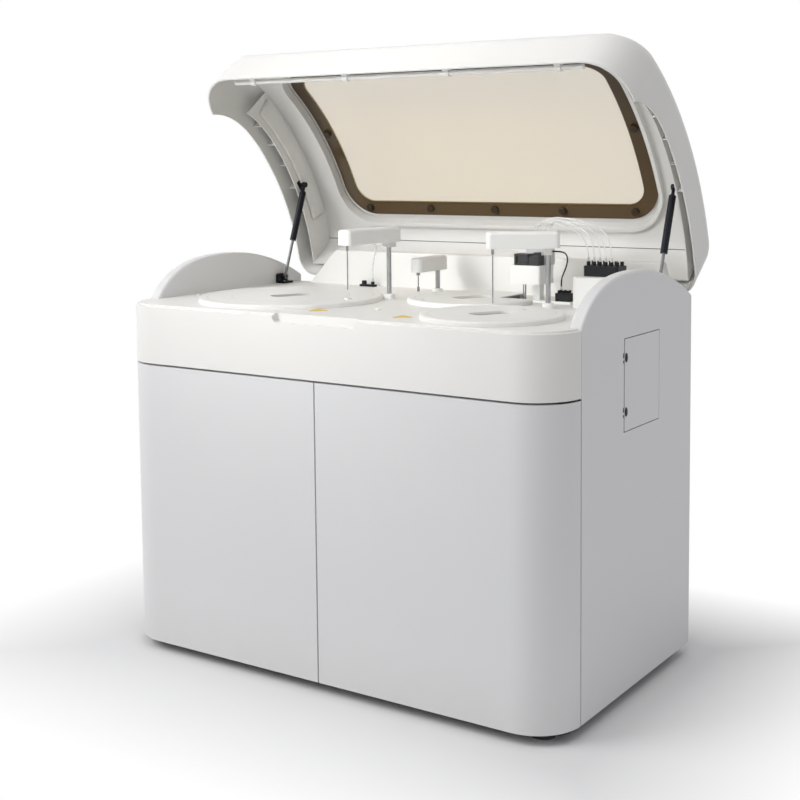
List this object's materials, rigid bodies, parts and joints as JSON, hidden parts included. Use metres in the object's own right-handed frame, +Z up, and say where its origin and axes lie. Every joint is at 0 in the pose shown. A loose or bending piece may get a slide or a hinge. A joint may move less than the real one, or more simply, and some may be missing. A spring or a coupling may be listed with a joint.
{
  "type": "chemistry analyzer",
  "caption": "Floor-standing clinical chemistry analyzer: two-door cabinet, instrument deck with round carousels and pipetting arms under a hinged windowed lid.",
  "frame": {"origin": "middle of the object's own box in plan, on the floor under the levelling feet", "axes": "+Z up, +Y to the rear where the lid is hinged, +X to the right of someone who stands in front"},
  "size_m": [1.25, 0.8641, 1.5232],
  "materials": {
    "white_paint": "fine satin",
    "grey_paint": "satin",
    "cream_plastic": "satin",
    "white_plastic": "smooth",
    "tank_plastic": "milky",
    "clear_plastic": "clear",
    "tinted_window": "smoked",
    "black_plastic": "fine grain",
    "black_paint": "satin",
    "steel": "brushed",
    "aluminium": "turned",
    "zinc": "zinc plated",
    "tube_plastic": "soft clear",
    "cable_jacket": "soft matte"
  },
  "bodies": {
    "cabinet": {"levelling_feet": "zinc", "frame_rails": "grey_paint", "cabinet_plates": "zinc", "rear_sheet": "white_paint", "tanks": "tank_plastic", "cabinet_modules": "grey_paint", "fan_housing": "black_plastic", "power_inlet": "black_plastic", "side_panel_left": "white_paint", "side_panel_right": "white_paint", "front_fascia": "cream_plastic", "deck": "cream_plastic", "rear_wall": "cream_plastic", "hinge_blocks": "black_paint", "deck_pots": "white_plastic", "drive_units": "black_paint", "deck_bosses": "white_plastic", "wash_stand": "white_plastic", "deck_connectors": "black_plastic", "tube_tower": "white_plastic", "tube_manifold": "black_plastic", "wash_tube_1": "tube_plastic", "wash_tube_2": "tube_plastic", "wash_tube_3": "tube_plastic", "wash_tube_4": "tube_plastic", "wash_tube_5": "tube_plastic", "arm_cable": "cable_jacket", "reagent_line": "tube_plastic"},
    "fan": {"fan_rotor": "black_plastic"},
    "rocker": {"power_rocker": "black_plastic"},
    "left_door": {"door_left": "white_paint"},
    "right_door": {"door_right": "white_paint"},
    "side_service_door": {"service_door": "white_paint"},
    "lid": {"lid_shell": "cream_plastic", "lid_window": "tinted_window", "lid_liner": "cream_plastic", "window_knobs": "black_plastic", "lid_fittings": "white_plastic"},
    "gas_spring_rods": {"strut_rods": "steel"},
    "gas_spring_cylinders": {"strut_cylinders": "black_paint"},
    "reagent_table": {"reagent_carousel": "aluminium", "reagent_bottles": "white_plastic"},
    "sample_table": {"sample_carousel": "aluminium", "sample_tubes": "clear_plastic"},
    "reaction_table": {"reaction_carousel": "aluminium"},
    "reagent_lid": {"reagent_cover": "white_plastic"},
    "sample_lid": {"sample_cover": "white_plastic"},
    "reaction_lid": {"reaction_cover": "white_plastic"},
    "reagent_lift": {"reagent_column": "steel"},
    "reagent_head": {"reagent_arm": "white_plastic", "reagent_probe": "steel"},
    "sample_lift": {"sample_column": "steel"},
    "sample_head": {"sample_arm": "white_plastic", "sample_probe": "steel"},
    "mixer_lift": {"mixer_column": "steel"},
    "mixer_head": {"mixer_arm": "white_plastic", "mixer_paddle": "steel"},
    "wash_lift": {"wash_head": "white_plastic", "wash_fittings": "black_plastic", "wash_pipes": "steel"}
  },
  "joints": [
    {"name": "fan_spin", "type": "hinge", "parent": "cabinet", "child": "fan", "pos_m": [0.3, 0.25786, 0.42], "axis": [0, 1, 0], "continuous": true},
    {"name": "power_switch", "type": "hinge", "parent": "cabinet", "child": "rocker", "pos_m": [-0.4, 0.26486, 0.16], "axis": [1, 0, 0], "range_deg": [-8, 8]},
    {"name": "left_door_hinge", "type": "hinge", "parent": "cabinet", "child": "left_door", "pos_m": [-0.615, -0.33814, 0.38], "axis": [0, 0, -1], "range_deg": [0, 110]},
    {"name": "right_door_hinge", "type": "hinge", "parent": "cabinet", "child": "right_door", "pos_m": [0.615, -0.33814, 0.38], "axis": [0, 0, 1], "range_deg": [0, 110]},
    {"name": "service_door_hinge", "type": "hinge", "parent": "cabinet", "child": "side_service_door", "pos_m": [0.6224, -0.11214, 0.733], "axis": [0, 0, -1], "range_deg": [0, 110]},
    {"name": "lid_hinge", "type": "hinge", "parent": "cabinet", "child": "lid", "pos_m": [0, 0.28786, 0.865], "axis": [1, 0, 0], "range_deg": [0, 53.4]},
    {"name": "gas_spring_swing", "type": "hinge", "parent": "cabinet", "child": "gas_spring_rods", "pos_m": [0, 0.18286, 0.905], "axis": [1, 0, 0], "range_deg": [0, 67.6]},
    {"name": "gas_spring_slide", "type": "slide", "parent": "gas_spring_rods", "child": "gas_spring_cylinders", "axis": [0, 0.3484, 0.9374], "range_m": [-0.0848, 0]},
    {"name": "reagent_table_spin", "type": "hinge", "parent": "cabinet", "child": "reagent_table", "pos_m": [-0.272, -0.17014, 0.76], "axis": [0, 0, 1], "continuous": true},
    {"name": "sample_table_spin", "type": "hinge", "parent": "cabinet", "child": "sample_table", "pos_m": [0.37, -0.25614, 0.76], "axis": [0, 0, 1], "continuous": true},
    {"name": "reaction_table_spin", "type": "hinge", "parent": "cabinet", "child": "reaction_table", "pos_m": [0.155, 0.01586, 0.76], "axis": [0, 0, 1], "continuous": true},
    {"name": "reagent_cover_lift", "type": "slide", "parent": "cabinet", "child": "reagent_lid", "axis": [0, 0, 1], "range_m": [0, 0.04]},
    {"name": "sample_cover_lift", "type": "slide", "parent": "cabinet", "child": "sample_lid", "axis": [0, 0, 1], "range_m": [0, 0.04]},
    {"name": "reaction_cover_lift", "type": "slide", "parent": "cabinet", "child": "reaction_lid", "axis": [0, 0, -1], "range_m": [-0.04, 0]},
    {"name": "reagent_arm_lift", "type": "slide", "parent": "cabinet", "child": "reagent_lift", "axis": [0, 0, 1], "range_m": [-0.085, 0], "deforming": ["reagent_line"]},
    {"name": "reagent_arm_swing", "type": "hinge", "parent": "reagent_lift", "child": "reagent_head", "pos_m": [-0.06, -0.03614, 1.05], "axis": [0, 0, 1], "range_deg": [0, 76.1]},
    {"name": "sample_arm_lift", "type": "slide", "parent": "cabinet", "child": "sample_lift", "axis": [0, 0, 1], "range_m": [-0.07, 0], "deforming": ["arm_cable"]},
    {"name": "sample_arm_swing", "type": "hinge", "parent": "sample_lift", "child": "sample_head", "pos_m": [0.392, -0.03014, 1.05], "axis": [0, 0, -1], "range_deg": [-60, 21]},
    {"name": "mixer_arm_lift", "type": "slide", "parent": "cabinet", "child": "mixer_lift", "axis": [0, 0, 1], "range_m": [-0.045, 0]},
    {"name": "mixer_arm_swing", "type": "hinge", "parent": "mixer_lift", "child": "mixer_head", "pos_m": [-0.024, 0.13686, 0.965], "axis": [0, 0, 1], "range_deg": [0, 35.3]},
    {"name": "wash_head_lift", "type": "slide", "parent": "cabinet", "child": "wash_lift", "axis": [0, 0, 1], "range_m": [-0.025, 0], "deforming": ["wash_tube_1", "wash_tube_2", "wash_tube_3", "wash_tube_4", "wash_tube_5"]}
  ],
  "couplings": [
    {"joint": "gas_spring_swing", "follows": "lid_hinge", "ratio": 1.2572},
    {"joint": "gas_spring_slide", "follows": "lid_hinge", "m_per_rad": -0.090428}
  ]
}
